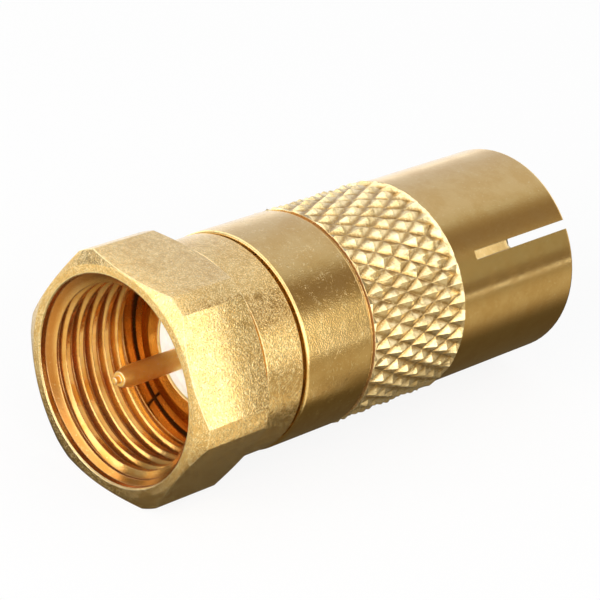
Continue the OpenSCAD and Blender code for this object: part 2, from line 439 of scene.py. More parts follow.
class Effect:
    """A shader node group that several finishes share, built once."""

    name = "effect"
    inputs: tuple[tuple[str, str], ...] = ()
    outputs: tuple[tuple[str, str], ...] = ()

    @classmethod
    def tree(cls) -> bpy.types.NodeTree:
        """Returns the group, building it the first time."""
        found = bpy.data.node_groups.get(cls.name)
        if found:
            return found
        tree = bpy.data.node_groups.new(cls.name, "ShaderNodeTree")
        for side, sockets in (("INPUT", cls.inputs), ("OUTPUT", cls.outputs)):
            for label, kind in sockets:
                tree.interface.new_socket(label, in_out=side, socket_type="NodeSocket" + kind)
        nodes = Nodes(tree)
        results = cls.build(nodes, nodes.add("NodeGroupInput").outputs)
        out = nodes.add("NodeGroupOutput")
        for label, value in results.items():
            nodes.feed(out.inputs[label], value)
        return tree

    @classmethod
    def build(cls, nodes: Nodes, given: Any) -> dict[str, Socket]:
        """Makes the group's nodes.

        Args:
            nodes: the group's tree.
            given: the group's inputs, by name.

        Returns:
            The output for each name.
        """
        raise NotImplementedError

    @classmethod
    def place(cls, nodes: Nodes, **values: Any) -> Any:
        """Places the group in a material.

        Args:
            nodes: the material's tree.
            **values: values or outputs for its inputs, with _ for a space in a name.

        Returns:
            The group's outputs, by name.
        """
        return nodes.add("Group", {"node_tree": cls.tree()}, **values).outputs


class Millimetres(Effect):
    """The piece's own coordinates in millimetres."""

    name = "millimetres"
    outputs = (("Place", "Vector"),)

    @classmethod
    def build(cls, nodes: Nodes, given: Any) -> dict[str, Socket]:
        """Scales the piece's own coordinates to millimetres."""
        place = nodes.add("TexCoord").outputs["Object"]
        return {"Place": nodes.add("Mapping", Vector=place, Scale=(1000, 1000, 1000)).outputs[0]}


class WornLitEdge(Effect):
    """Mask of the narrow band along a sharp edge that rubbing has worn and rounded; finishes paint it
    pale, as wear and as painted highlight.
    """

    name = "worn_lit_edge"
    inputs = (("Width", "Float"), ("Place", "Vector"))
    outputs = (("Mask", "Float"), ("Normal", "Vector"))
    samples = 6
    breaks_per_mm = 3.2
    break_depth = 0.02
    # Products of the rounded normal and the surface's own, on a flat face and where it is worn.
    levels = (1.006, 0.97)

    @classmethod
    def build(cls, nodes: Nodes, given: Any) -> dict[str, Socket]:
        """Compares the rounded normal with the surface's own."""
        rounded_off = nodes.add("Bevel", {"samples": cls.samples}, Radius=given["Width"]).outputs[0]
        own = nodes.add("NewGeometry").outputs["Normal"]
        same = nodes.vectors("DOT_PRODUCT", rounded_off, own)["Value"]
        broken = nodes.noise(given["Place"], cls.breaks_per_mm, 3.0)
        level = nodes.maths("MULTIPLY_ADD", broken, cls.break_depth, same)
        return {"Mask": nodes.ramp(level, *cls.levels), "Normal": rounded_off}


class TumbledStrokes(Effect):
    """Short strokes in many directions, as tumbling in a barrel leaves them."""

    name = "tumbled_strokes"
    inputs = (("Place", "Vector"), ("Density", "Float"))
    outputs = (("Bright", "Float"), ("Dark", "Float"), ("Height", "Float"))
    directions = ((0.3, 0.9, 0.2), (1.3, 0.2, 1.1), (0.8, 2.1, 0.7), (2.2, 0.5, 2.6))
    shape = (3.4, 19.0, 19.0)
    thin = (0.57, 0.64)
    # Patches to a millimetre in which strokes lie: of the first direction, and more for each next.
    patches = (2.1, 0.5)
    patch_levels = (0.48, 0.6)

    @classmethod
    def build(cls, nodes: Nodes, given: Any) -> dict[str, Socket]:
        """Lays thin broken lines over each other, every other set dark and sunk."""
        masks: list[Any] = [0.0, 0.0]
        for number, turn in enumerate(cls.directions):
            lines = nodes.noise(nodes.stretched(given["Place"], cls.shape, turn), 1.0, 1.0)
            kept = nodes.noise(given["Place"], cls.patches[0] + cls.patches[1] * number, 1.0)
            here = nodes.ramp(nodes.maths("ADD", kept, given["Density"]), *cls.patch_levels)
            stroke = nodes.maths("MULTIPLY", nodes.ramp(lines, *cls.thin), here)
            masks[number % 2] = nodes.maths("MAXIMUM", masks[number % 2], stroke)
        bright, dark = masks
        return {"Bright": bright, "Dark": dark, "Height": nodes.maths("SUBTRACT", bright, dark)}


class Speckle(Effect):
    """Fine grains and soft blotches of a thin plated skin."""

    name = "speckle"
    inputs = (("Place", "Vector"), ("Grain", "Float"))
    outputs = (("Grains", "Float"), ("Blotches", "Float"), ("Height", "Float"))
    detail = 3.0
    roughness = 0.6
    blotches_per_mm = 0.9
    grain_levels = (0.6, 0.72)
    blotch_levels = (0.36, 0.66)

    @classmethod
    def build(cls, nodes: Nodes, given: Any) -> dict[str, Socket]:
        """Sets grains by a fine noise and blotches by a coarse one."""
        fine = nodes.noise(given["Place"], given["Grain"], cls.detail, cls.roughness)
        coarse = nodes.noise(given["Place"], cls.blotches_per_mm, cls.detail, cls.roughness)
        grains = nodes.ramp(fine, *cls.grain_levels)
        return {"Grains": grains, "Blotches": nodes.ramp(coarse, *cls.blotch_levels), "Height": fine}


class HollowShade(Effect):
    """Mask of painted shade that goes from the crests of a surface to its roots, by the distance from
    the axis.
    """

    name = "hollow_shade"
    inputs = (("Place", "Vector"), ("Crest", "Float"), ("Root", "Float"))
    outputs = (("Mask", "Float"),)

    @classmethod
    def build(cls, nodes: Nodes, given: Any) -> dict[str, Socket]:
        """Measures the distance from the axis."""
        from_axis = nodes.vectors("SUBTRACT", given["Place"], (0.0, 0.0, AXIS_HEIGHT))[0]
        across = nodes.vectors("MULTIPLY", from_axis, (0.0, 1.0, 1.0))[0]
        radius = nodes.vectors("LENGTH", across)["Value"]
        return {"Mask": nodes.ramp(radius, given["Crest"], given["Root"])}


class TurningMarks(Effect):
    """Rings that a turning tool leaves round a surface of revolution."""

    name = "turning_marks"
    inputs = (("Place", "Vector"), ("Rings per mm", "Float"))
    outputs = (("Height", "Float"),)

    @classmethod
    def build(cls, nodes: Nodes, given: Any) -> dict[str, Socket]:
        """Reads a noise along the axis only."""
        along = nodes.add("SeparateXYZ", Vector=given["Place"]).outputs[0]
        one_way = {"noise_dimensions": "1D"}
        node = nodes.add("TexNoise", one_way, W=along, Scale=given["Rings per mm"], Detail=2.0)
        return {"Height": node.outputs[0]}


# ---------------------------------------------------------------- finishes

GOLD = (0.86, 0.60, 0.24)
RICH_GOLD = (0.80, 0.53, 0.19)
PALE_GOLD = (1.0, 0.84, 0.48)
BROWN = (0.50, 0.31, 0.10)
# Height that one unit of relief in a finish stands for, in metres.
RELIEF = 0.01 * MM


def new_material(name: str) -> tuple[bpy.types.Material, Nodes, bpy.types.Node]:
    """Starts a material.

    Args:
        name: the material's name.

    Returns:
        The material, its tree and its shader.
    """
    material = bpy.data.materials.new(name)
    material.use_nodes = True
    tree = material.node_tree
    return material, Nodes(tree), tree.nodes["Principled BSDF"]


@dataclass(frozen=True)
class PlatedBrass:
    """Thin gold plate over brass.

    Args:
        name: the material's name.
        smooth: roughness of the cleanest plate.
        dull: roughness of the blotches.
        colour: colour of the plate.
        deep: colour of the dull blotches.
        pale: colour of grains, strokes and worn edges, and of the glints and edge highlights painted on
            them.
        brown: colour of the dark strokes, and of the painted shade in the roots.
        grain: grains to a millimetre.
        flecks_and_glints: how pale the grains are, as flecks and painted glints, from 0 to 1.
        dents: depth of the grain, in hundredths of a millimetre.
        strokes: how densely the strokes lie; well below zero leaves none.
        cuts: depth of the strokes, in hundredths of a millimetre.
        rings: depth of the turning marks, in hundredths of a millimetre.
        rounding: radius that the sharp edges are worn to, in mm.
        wear_and_highlight: how pale the worn edges are, as wear and painted highlight, from 0 to 1.
        crest: radius at which the unshaded crests end, in mm; read only where there is root shade.
        root: radius of the roots, where the painted shade is full, in mm.
        root_shade: how far the roots are painted brown as shade, from 0 to 1.
        metal: 1 for a bare metal shine; less lets the lamps light it as satin too.
    """

    name: str
    smooth: float
    dull: float
    colour: Colour = GOLD
    deep: Colour = RICH_GOLD
    pale: Colour = PALE_GOLD
    brown: Colour = BROWN
    grain: float = 9.0
    flecks_and_glints: float = 0.3
    dents: float = 0.5
    strokes: float = -0.5
    cuts: float = 0.0
    rings: float = 0.0
    rounding: float = 0.08
    wear_and_highlight: float = 0.5
    crest: float = 0.0
    root: float = 0.0
    root_shade: float = 0.0
    metal: float = 1.0
    # The same on every plated piece: rings to a millimetre, and how strongly strokes are tinted.
    rings_per_mm = 14.0
    dark_tint = 0.35
    bright_tint = 0.6

    def material(self) -> bpy.types.Material:
        """Builds the material."""
        material, nodes, shader = new_material(self.name)
        shader.inputs["Metallic"].default_value = self.metal
        place = Millimetres.place(nodes)[0]
        speckle = Speckle.place(nodes, Place=place, Grain=self.grain)
        strokes = TumbledStrokes.place(nodes, Place=place, Density=self.strokes)
        edge = WornLitEdge.place(nodes, Width=self.rounding * MM, Place=place)
        marks = TurningMarks.place(nodes, Place=place, Rings_per_mm=self.rings_per_mm)[0]
        tone = nodes.blend(speckle["Blotches"], self.colour, self.deep)
        dark = nodes.maths("MULTIPLY", strokes["Dark"], self.dark_tint)
        tone = nodes.blend(dark, tone, self.brown)
        # Painted shade: roots of threads and knurl turn brown by their distance from the axis.
        if self.root_shade:
            root_shade_mask = HollowShade.place(nodes, Place=place, Crest=self.crest, Root=self.root)[0]
            tone = nodes.blend(nodes.maths("MULTIPLY", root_shade_mask, self.root_shade), tone, self.brown)
        # Pale grains, bright strokes and worn edges: partly the plate's own flecks, scratches and wear,
        # partly painted glints and edge highlights.
        grains = nodes.maths("MULTIPLY", speckle["Grains"], self.flecks_and_glints)
        bright = nodes.maths("MULTIPLY", strokes["Bright"], self.bright_tint)
        worn = nodes.maths("MULTIPLY", edge["Mask"], self.wear_and_highlight)
        light = nodes.maths("MAXIMUM", nodes.maths("MAXIMUM", grains, bright), worn)
        nodes.feed(shader.inputs["Base Color"], nodes.blend(light, tone, self.pale))
        rough = nodes.ramp(speckle["Blotches"], 0.0, 1.0, self.smooth, self.dull)
        nodes.feed(shader.inputs["Roughness"], rough)
        relief = nodes.maths("MULTIPLY", speckle["Height"], self.dents)
        relief = nodes.maths("MULTIPLY_ADD", strokes["Height"], self.cuts, relief)
        relief = nodes.maths("MULTIPLY_ADD", marks, self.rings, relief)
        bump = nodes.add("Bump", Distance=RELIEF, Height=relief, Normal=edge["Normal"])
        nodes.feed(shader.inputs["Normal"], bump.outputs[0])
        return material


@dataclass(frozen=True)
class MouldedWhite:
    """White moulded insulator, slightly waxy, with a little dust in its skin."""

    name: str = "white_plastic"
    colour: Colour = (0.93, 0.90, 0.82)
    shade: Colour = (0.86, 0.81, 0.70)
    grain: float = 5.0
    wax: float = 0.2
    wax_depth: float = 0.3
    grain_levels: Span = (0.2, 0.8)
    roughness: Span = (0.38, 0.55)
    relief: float = 0.4

    def material(self) -> bpy.types.Material:
        """Builds the material."""
        material, nodes, shader = new_material(self.name)
        shader.inputs["Subsurface Weight"].default_value = self.wax
        shader.inputs["Subsurface Scale"].default_value = self.wax_depth * MM
        speckle = Speckle.place(nodes, Place=Millimetres.place(nodes)[0], Grain=self.grain)
        tone = nodes.blend(speckle["Blotches"], self.colour, self.shade)
        nodes.feed(shader.inputs["Base Color"], tone)
        rough = nodes.ramp(speckle["Height"], *self.grain_levels, *self.roughness)
        nodes.feed(shader.inputs["Roughness"], rough)
        bump = nodes.add("Bump", Strength=self.relief, Distance=RELIEF, Height=speckle["Height"])
        nodes.feed(shader.inputs["Normal"], bump.outputs[0])
        return material


TUMBLED_GOLD = PlatedBrass(
    "tumbled_gold", 0.1, 0.15,
    grain=10.0, dents=0.8, flecks_and_glints=0.35, strokes=0.1, cuts=0.6, rounding=0.07, wear_and_highlight=1.0, metal=0.95,
)
# Gold inside the bore: the plate colour, painted deeper orange and browner as the shade of light
# bouncing round the bore.
BORE_GOLD_IN_SHADE = PlatedBrass(
    "bore_gold_in_shade", 0.1, 0.15,
    colour=(0.84, 0.50, 0.16), deep=(0.78, 0.40, 0.09), brown=(0.46, 0.17, 0.03),
    grain=7.0, dents=0.35, flecks_and_glints=0.2, wear_and_highlight=0.2, crest=4.5, root=4.8, root_shade=0.8, metal=0.9,
)
SATIN_GOLD = PlatedBrass(
    "satin_gold", 0.09, 0.14,
    grain=14.0, dents=0.8, flecks_and_glints=0.8, strokes=-0.1, cuts=0.2, rings=0.03, rounding=0.06, wear_and_highlight=0.8,
)
# Knurl finish; its grooves are painted brown as shade.
KNURLED_GOLD = PlatedBrass(
    "knurled_gold", 0.12, 0.18, colour=(0.96, 0.77, 0.42), deep=(0.88, 0.66, 0.30),
    dents=1.2, flecks_and_glints=0.4, strokes=-0.04, cuts=0.3, rounding=0.04, wear_and_highlight=0.35,
    crest=5.24, root=5.14, root_shade=1.0, metal=0.85,
)
DRAWN_GOLD = PlatedBrass(
    "drawn_gold", 0.12, 0.17, dents=0.3, flecks_and_glints=0.5, rings=0.02, rounding=0.06, wear_and_highlight=0.6
)
SPRING_RING = PlatedBrass(
    "spring_ring", 0.2, 0.3, colour=(0.82, 0.47, 0.14), deep=(0.68, 0.34, 0.09),
    dents=0.8, rounding=0.05, wear_and_highlight=0.3,
)
PIN_GOLD = PlatedBrass(
    "pin_gold", 0.3, 0.4,
    colour=(1.0, 0.62, 0.16), deep=(0.92, 0.50, 0.10), pale=(0.96, 0.94, 0.88),
    grain=13.0, dents=1.4, rounding=0.06, wear_and_highlight=1.0, metal=0.88,
)


# ---------------------------------------------------------------- pieces


@dataclass
class Part:
    """A piece of the adapter that stands for one CAD node."""

    axis: Axis

    def keep(
        self,
        bm: Solid,
        name: str,
        node: str,
        body: str,
        slot: str,
        *finishes: bpy.types.Material,
    ) -> bpy.types.Object:
        """Makes the piece's object and hangs it on its body.

        Args:
            bm: its mesh in mm; it is freed.
            name: the piece's name.
            node: the CAD node that it stands for.
            body: the body that it rides on.
            slot: name of a material slot; not used.
            *finishes: the materials that its faces name by number.

        Returns:
            The new object.
        """
        self.axis.lay(bm)
        obj = linked(bm, name)
        obj.data.shade_smooth()
        obj.data.set_sharp_from_angle(angle=SHARP_ANGLE)
        for finish in finishes:
            obj.data.materials.append(finish)
        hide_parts(node)
        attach(obj, body)
        LOG.info("%s: %d faces", name, len(obj.data.polygons))
        return obj


@dataclass
class CouplingNut(Part):
    """Captive nut: a turned-down hexagon, a skirt, and a bore with a right-handed thread."""

    sides: int = 6
    hex_length: float = 4.36
    chamfer: float = math.radians(30)
    face_drop: float = 0.05
    rear_drop: float = 0.02
    sharp: float = math.radians(18)
    worn_round: float = 0.1
    skirt_radius: float = 5.27
    skirt_edge: float = 0.1
    groove_width: float = 0.32
    groove_depth: float = 0.16
    groove_edge: float = 0.03
    mouth_radius: float = 5.0
    mouth_edge: float = 0.07
    mouth_depth: float = 0.36
    lead_angle: float = math.radians(60)
    minor_radius: float = 4.43
    relief_radius: float = 4.81
    relief_front: float = 4.75
    relief_rear: float = 6.25
    lip_radius: float = 4.23
    overrun: float = 1.0
    pitch: float = 0.794
    root_radius: float = 4.76
    root_flat: float = 0.148
    flank_angle: float = math.radians(30)
    tap_lap: float = 0.08
    turns: float = 7.4
    thread_start: float = -0.72
    steps_per_turn: int = 96
    back_face: float = 0.05

    def blank(self) -> Solid:
        """The hexagon, chamfered at both ends, with the skirt behind it."""
        low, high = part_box("coupling_nut")
        flat = (high.z - low.z) / MM / 2
        corner = (high.y - low.y) / MM / 2
        front = flat - self.face_drop
        rear = flat - self.rear_drop
        slope = math.tan(self.chamfer)
        outline = turned([
            Corner(0, 0),
            Corner(0, front),
            Corner((corner - front) * slope, corner),
            Corner(self.hex_length - (corner - rear) * slope, corner),
            Corner(self.hex_length, rear),
            Corner(self.hex_length, 0),
        ])
        overlong = 4 * self.hex_length
        hexagon = bar(self.sides, flat / math.cos(math.pi / self.sides), overlong)
        body = combined(outline, hexagon, Join.KEEP_COMMON)
        self.round_edges(body)
        end = self.axis.rear("coupling_nut")
        groove = self.skirt_radius - self.groove_depth
        groove_rear = self.hex_length + self.groove_width
        skirt = turned([
            Corner(self.hex_length / 2, 0),
            Corner(self.hex_length / 2, groove),
            Corner(groove_rear, groove),
            Corner(groove_rear, self.skirt_radius, self.groove_edge),
            Corner(end, self.skirt_radius, self.skirt_edge),
            Corner(end, 0),
        ])
        return combined(body, skirt, Join.ADD)

    def round_edges(self, body: Solid) -> None:
        """Rounds the edges of the hexagon, as tumbling wears them.

        Args:
            body: the chamfered hexagon, in mm.
        """
        sharp = [
            edge
            for edge in body.edges
            if edge.is_manifold
            and edge.calc_face_angle(0.0) > self.sharp
            and min(math.hypot(v.co.y, v.co.z) for v in edge.verts) > self.skirt_radius
        ]
        rounded(body, sharp, self.worn_round, Rounding.EDGES)

    def bore(self) -> Solid:
        """What the drill and the boring tool take away."""
        end = self.axis.rear("coupling_nut") + self.overrun
        mouth = self.mouth_radius + self.mouth_edge
        slope = math.tan(self.lead_angle)
        thread_front = self.mouth_depth + (self.mouth_radius - self.minor_radius) / slope
        relief_front = self.relief_front + (self.relief_radius - self.minor_radius) / slope
        return turned([
            Corner(-self.overrun, 0),
            Corner(-self.overrun, mouth),
            Corner(0, mouth),
            Corner(self.mouth_edge, self.mouth_radius),
            Corner(self.mouth_depth, self.mouth_radius),
            Corner(thread_front, self.minor_radius),
            Corner(self.relief_front, self.minor_radius),
            Corner(relief_front, self.relief_radius),
            Corner(self.relief_rear, self.relief_radius),
            Corner(self.relief_rear, self.lip_radius),
            Corner(end, self.lip_radius),
            Corner(end, 0),
        ])

    def tap(self) -> Solid:
        """The helical groove that the tap cuts, as a closed coil."""
        bm = bmesh.new()
        inner = self.minor_radius - self.tap_lap
        half_root = self.root_flat / 2
        half_inner = half_root + (self.root_radius - inner) * math.tan(self.flank_angle)
        shape = (
            (-half_inner, inner),
            (-half_root, self.root_radius),
            (half_root, self.root_radius),
            (half_inner, inner),
        )
        corners = [bm.verts.new((self.thread_start + x, r, 0)) for x, r in shape]
        bm.faces.new(corners)
        bmesh.ops.delete(bm, geom=bm.faces[:], context="FACES_ONLY")
        bmesh.ops.spin(
            bm,
            geom=bm.verts[:] + bm.edges[:],
            cent=(0, 0, 0),
            axis=(1, 0, 0),
            dvec=(self.pitch / self.steps_per_turn, 0, 0),
            angle=FULL_TURN * self.turns,
            steps=round(self.steps_per_turn * self.turns),
        )
        bmesh.ops.holes_fill(bm, edges=[e for e in bm.edges if e.is_boundary], sides=0)
        clean(bm)
        return bm

    def build(self) -> bpy.types.Object:
        """Cuts the bore and the thread and dresses the nut."""
        body = combined(self.blank(), self.bore(), Join.CUT)
        body = combined(body, self.tap(), Join.CUT)
        back = self.axis.rear("coupling_nut") - self.back_face
        # Faces inside the bore take the second finish, which is painted darker as shade.
        for face in body.faces:
            middle = face.calc_center_median()
            inside = math.hypot(middle.y, middle.z) < self.mouth_radius + self.mouth_edge / 4
            face.material_index = int(inside and middle.x < back)
        finishes = (TUMBLED_GOLD.material(), BORE_GOLD_IN_SHADE.material())
        return self.keep(
            body, "coupling_nut_threaded", "coupling_nut", "nut", "tumbled_gold", *finishes
        )


@dataclass
class RetainingRing(Part):
    """Flat ring with a gap, sprung open behind the thread."""

    inner_radius: float = 3.97
    outer_radius: float = 4.69
    inner_edge: float = 0.04
    outer_edge: float = 0.08
    gap: float = 0.14
    gap_angle: float = math.radians(-56)

    def build(self) -> bpy.types.Object:
        """Turns the ring, opens its gap and dresses it."""
        front, rear = self.axis.ends("retaining_ring")
        ring = turned([
            Corner(front, self.inner_radius, self.inner_edge),
            Corner(front, self.outer_radius, self.outer_edge),
            Corner(rear, self.outer_radius, self.outer_edge),
            Corner(rear, self.inner_radius, self.inner_edge),
        ])
        past = 1.5 * (rear - front)
        reach = (self.outer_radius / 2, 1.5 * self.outer_radius)
        blade = saw_blade(self.gap, reach, (front - past, rear + past), self.gap_angle)
        ring = combined(ring, blade, Join.CUT)
        finish = SPRING_RING.material()
        return self.keep(ring, "split_ring", "retaining_ring", "adapter", "spring_ring", finish)


@dataclass
class FrontBody(Part):
    """Nose, ring groove, neck, plain band and spigot in one turning."""

    pocket_radius: float = 2.8
    face_radius: float = 3.45
    nose_end: float = 0.06
    nose_edge: float = 0.02
    neck_radius: float = 4.15
    groove_radius: float = 3.5
    groove_play: float = 0.03
    nut_play: float = 0.18
    band_radius: float = 5.335
    band_edge: float = 0.12
    spigot_radius: float = 4.3
    spigot_edge: float = 0.2
    web_radius: float = 2.2
    web_length: float = 1.6
    cavity_radius: float = 3.2
    edge: float = 0.03

    def build(self) -> bpy.types.Object:
        """Turns the body and dresses it."""
        front, rear = self.axis.ends("front_body")
        ring_front, ring_rear = self.axis.ends("retaining_ring")
        band_front = self.axis.rear("coupling_nut") + self.nut_play
        band_rear = self.axis.front("rear_body")
        groove_front = ring_front - self.groove_play
        groove_rear = ring_rear + self.groove_play
        pocket_rear = self.axis.rear("front_insulator")
        web_rear = pocket_rear + self.web_length
        body = turned([
            Corner(front, self.pocket_radius, self.edge),
            Corner(front, self.face_radius, self.edge),
            Corner(groove_front - self.nose_end, self.neck_radius, self.nose_edge),
            Corner(groove_front, self.neck_radius),
            Corner(groove_front, self.groove_radius),
            Corner(groove_rear, self.groove_radius),
            Corner(groove_rear, self.neck_radius, self.edge),
            Corner(band_front, self.neck_radius),
            Corner(band_front, self.band_radius, self.band_edge),
            Corner(band_rear, self.band_radius, self.band_edge),
            Corner(band_rear, self.spigot_radius),
            Corner(rear, self.spigot_radius, self.spigot_edge),
            Corner(rear, self.cavity_radius, self.edge),
            Corner(web_rear, self.cavity_radius),
            Corner(web_rear, self.web_radius, self.edge),
            Corner(pocket_rear, self.web_radius),
            Corner(pocket_rear, self.pocket_radius),
        ])
        finish = SATIN_GOLD.material()
        return self.keep(
            body, "front_body_turned", "front_body", "adapter", "satin_gold", finish
        )


@dataclass
class RearBody(Part):
    """Knurled grip and slotted sleeve in one turning."""

    seat_radius: float = 4.3
    bore_radius: float = 4.8
    barrel_radius: float = 5.25
    barrel_edge: float = 0.14
    sleeve_lead: float = 0.16
    shoulder_radius: float = 5.17
    shoulder_length: float = 0.2
    grip_length: float = 6.52
    crest_radius: float = 5.4
    groove_radius: float = 5.12
    rim_radius: float = 5.33
    rim: float = 0.12
    points: int = 36
    rows: int = 7
    first_point: float = math.radians(2)
    crest_flat: float = 0.05
    grid_cuts: int = 2
    softening: float = 0.5
    lumps: float = 2.6
    lump_height: float = 0.05
    slot_width: float = 0.45
    slot_length: float = 6.9
    slot_angle: float = math.radians(141)
    saw_radius: float = 30.0
    saw_floor: float = 4.6
    saw_steps: int = 256
    # How far a vertex may be from its radius, its station, the grooves' radius and the seat's.
    radius_slack: float = 0.001
    station_slack: float = 0.01
    groove_slack: float = 0.05
    seat_slack: float = 0.1

    def blank(self) -> Solid:
        """The turning, with a ring of vertices at each row of the knurl."""
        front, rear = self.axis.ends("rear_body")
        grip_rear = front + self.grip_length
        seat = self.axis.rear("front_body")
        knurl_front = front + self.shoulder_length
        section = [
            Corner(seat, self.seat_radius),
            Corner(front, self.seat_radius),
            Corner(front, self.shoulder_radius - self.shoulder_length),
            Corner(knurl_front, self.shoulder_radius),
            Corner(knurl_front, self.rim_radius),
            *(Corner(station, self.crest_radius) for station in self.row_stations()),
            Corner(grip_rear, self.rim_radius),
            Corner(grip_rear, self.barrel_radius),
            Corner(rear, self.barrel_radius, self.barrel_edge),
            Corner(rear, self.bore_radius, self.sleeve_lead),
            Corner(seat, self.bore_radius),
        ]
        return turned(section, steps=2 * self.points)

    def saw(self, angle: float) -> Solid:
        """The round saw that slots the sleeve, at the end of its cut.

        Args:
            angle: direction of the slot round the axis, in radians from +Y towards +Z.

        Returns:
            The disc as a closed solid.
        """
        height = self.saw_floor + self.saw_radius
        half_chord = math.sqrt(self.saw_radius**2 - (height - self.barrel_radius) ** 2)
        centre = self.axis.rear("rear_body") - self.slot_length + half_chord
        disc = bar(self.saw_steps, self.saw_radius, self.slot_width, Matrix.Identity(4))
        bmesh.ops.translate(disc, vec=(centre, height, 0), verts=disc.verts)
        return swung(disc, angle)

    def row_stations(self) -> list[float]:
        """Stations of the knurl's rows of points."""
        first = self.axis.front("rear_body") + self.shoulder_length + self.rim
        last = self.axis.front("rear_body") + self.grip_length - self.rim
        return [first + (last - first) * row / self.rows for row in range(self.rows + 1)]

    def knurl(self, bm: Solid) -> None:
        """Presses the diamond grooves into the grip.

        Args:
            bm: the blank, in mm.
        """
        stations = self.row_stations()
        step = math.pi / self.points
        low: list[bmesh.types.BMVert] = []
        high: list[bmesh.types.BMVert] = []
        for vert in bm.verts:
            radius = math.hypot(vert.co.y, vert.co.z)
            if abs(radius - self.crest_radius) > self.radius_slack:
                continue
            row = min(range(len(stations)), key=lambda n: abs(stations[n] - vert.co.x))
            side = round(math.atan2(vert.co.z, vert.co.y) / step)
            if (row + side) % 2:
                high.append(vert)
                continue
            low.append(vert)
            vert.co.y *= self.groove_radius / self.crest_radius
            vert.co.z *= self.groove_radius / self.crest_radius
        bmesh.ops.connect_verts(bm, verts=low)
        front, rear = self.grip(-self.station_slack)
        inner = [v for v in high if front < v.co.x < rear]
        rounded(bm, inner, self.crest_flat, segments=1)

    def grip(self, slack: float) -> Span:
        """Stations of the first and last rows, moved outwards by a slack."""
        stations = self.row_stations()
        return stations[0] - slack, stations[-1] + slack

    def roughen(self, bm: Solid) -> None:
        """Rounds the knurl's points and makes them a little uneven, as rolling leaves them.

        Args:
            bm: the knurled blank, in mm.
        """
        front, rear = self.grip(self.station_slack)
        rolled = [
            face
            for face in bm.faces
            if all(front < v.co.x < rear for v in face.verts)
            and math.hypot(*face.calc_center_median().yz) > self.groove_radius - self.groove_slack
        ]
        edges = list({edge for face in rolled for edge in face.edges})
        bmesh.ops.subdivide_edges(bm, edges=edges, cuts=self.grid_cuts, use_grid_fill=True)
        front, rear = self.grip(-self.station_slack)
        verts = [
            vert
            for vert in bm.verts
            if front < vert.co.x < rear
            and math.hypot(vert.co.y, vert.co.z) > self.seat_radius + self.seat_slack
        ]
        bmesh.ops.smooth_vert(
            bm,
            verts=verts,
            factor=self.softening,
            use_axis_x=True,
            use_axis_y=True,
            use_axis_z=True,
        )
        for vert in verts:
            lump = noise.noise(vert.co * self.lumps) * self.lump_height
            radius = math.hypot(vert.co.y, vert.co.z)
            vert.co.yz *= min(radius + lump, self.crest_radius) / radius

    def build(self) -> bpy.types.Object:
        """Knurls the blank, saws the slots and dresses the body."""
        body = self.blank()
        self.knurl(body)
        self.roughen(body)
        swung(body, self.first_point)
        for side in (0.0, math.pi):
            body = combined(body, self.saw(self.slot_angle + side), Join.CUT)
        grip_rear = self.axis.front("rear_body") + self.grip_length
        for face in body.faces:
            face.material_index = int(face.calc_center_median().x > grip_rear)
        finishes = (KNURLED_GOLD.material(), DRAWN_GOLD.material())
        return self.keep(
            body, "rear_body_knurled", "rear_body", "adapter", "knurled_gold", *finishes
        )


@dataclass
class Insulators(Part):
    """The two white mouldings that hold the contacts."""

    pin_radius: float = 0.51
    pin_edge: float = 0.02
    shank_radius: float = 0.7
    front_radius: float = 2.8
    dish_radius: float = 2.37
    dish_depth: float = 0.15
    shank_cover: float = 0.1
    socket_radius: float = 1.7
    rear_radius: float = 4.8
    edge: float = 0.05
    soft_edge: float = 0.1

    def build(self) -> list[bpy.types.Object]:
        """Moulds both pieces and dresses them."""
        white = MouldedWhite().material()
        front, rear = self.axis.ends("front_insulator")
        floor = front + self.dish_depth
        seat = floor + self.shank_cover
        plug = turned([
            Corner(floor, self.pin_radius, self.pin_edge),
            Corner(floor, self.dish_radius - self.dish_depth, self.soft_edge),
            Corner(front, self.dish_radius, self.edge),
            Corner(front, self.front_radius, self.edge),
            Corner(rear, self.front_radius, self.edge),
            Corner(rear, self.shank_radius),
            Corner(seat + self.shank_radius - self.pin_radius, self.shank_radius),
            Corner(seat, self.pin_radius),
        ])
        near, far = self.axis.ends("rear_insulator")
        disc = turned([
            Corner(near, self.socket_radius),
            Corner(near, self.rear_radius, self.edge),
            Corner(far, self.rear_radius, self.soft_edge),
            Corner(far, self.socket_radius, self.edge),
        ])
        return [
            self.keep(bm, node + "_moulded", node, "adapter", "white_plastic", white)
            for bm, node in ((plug, "front_insulator"), (disc, "rear_insulator"))
        ]


@dataclass
class CentrePin(Part):
    """Turned centre pin with its parting pip and thicker shank."""

    pip_radius: float = 0.17
    pip_length: float = 0.3
    pip_edge: float = 0.06
    pip_root: float = 0.02
    face_radius: float = 0.37
    edge: float = 0.05
    taper: float = 0.55
    taper_edge: float = 0.1
    radius: float = 0.51
    shank_radius: float = 0.7
    shank_cover: float = 0.25
    steps: int = 64

    def build(self) -> bpy.types.Object:
        """Turns the pin and dresses it."""
        tip, rear = self.axis.ends("centre_pin")
        face = tip + self.pip_length
        shank = self.axis.front("front_insulator") + self.shank_cover
        pin = turned([
            Corner(tip, 0),
            Corner(tip, self.pip_radius, self.pip_edge),
            Corner(face, self.pip_radius, self.pip_root),
            Corner(face, self.face_radius, self.edge),
            Corner(face + self.taper, self.radius, self.taper_edge),
            Corner(shank, self.radius),
            Corner(shank + self.shank_radius - self.radius, self.shank_radius),
            Corner(rear, self.shank_radius, self.edge),
            Corner(rear, 0),
        ], steps=self.steps)
        finish = PIN_GOLD.material()
        return self.keep(pin, "centre_pin_turned", "centre_pin", "adapter", "pin_gold", finish)


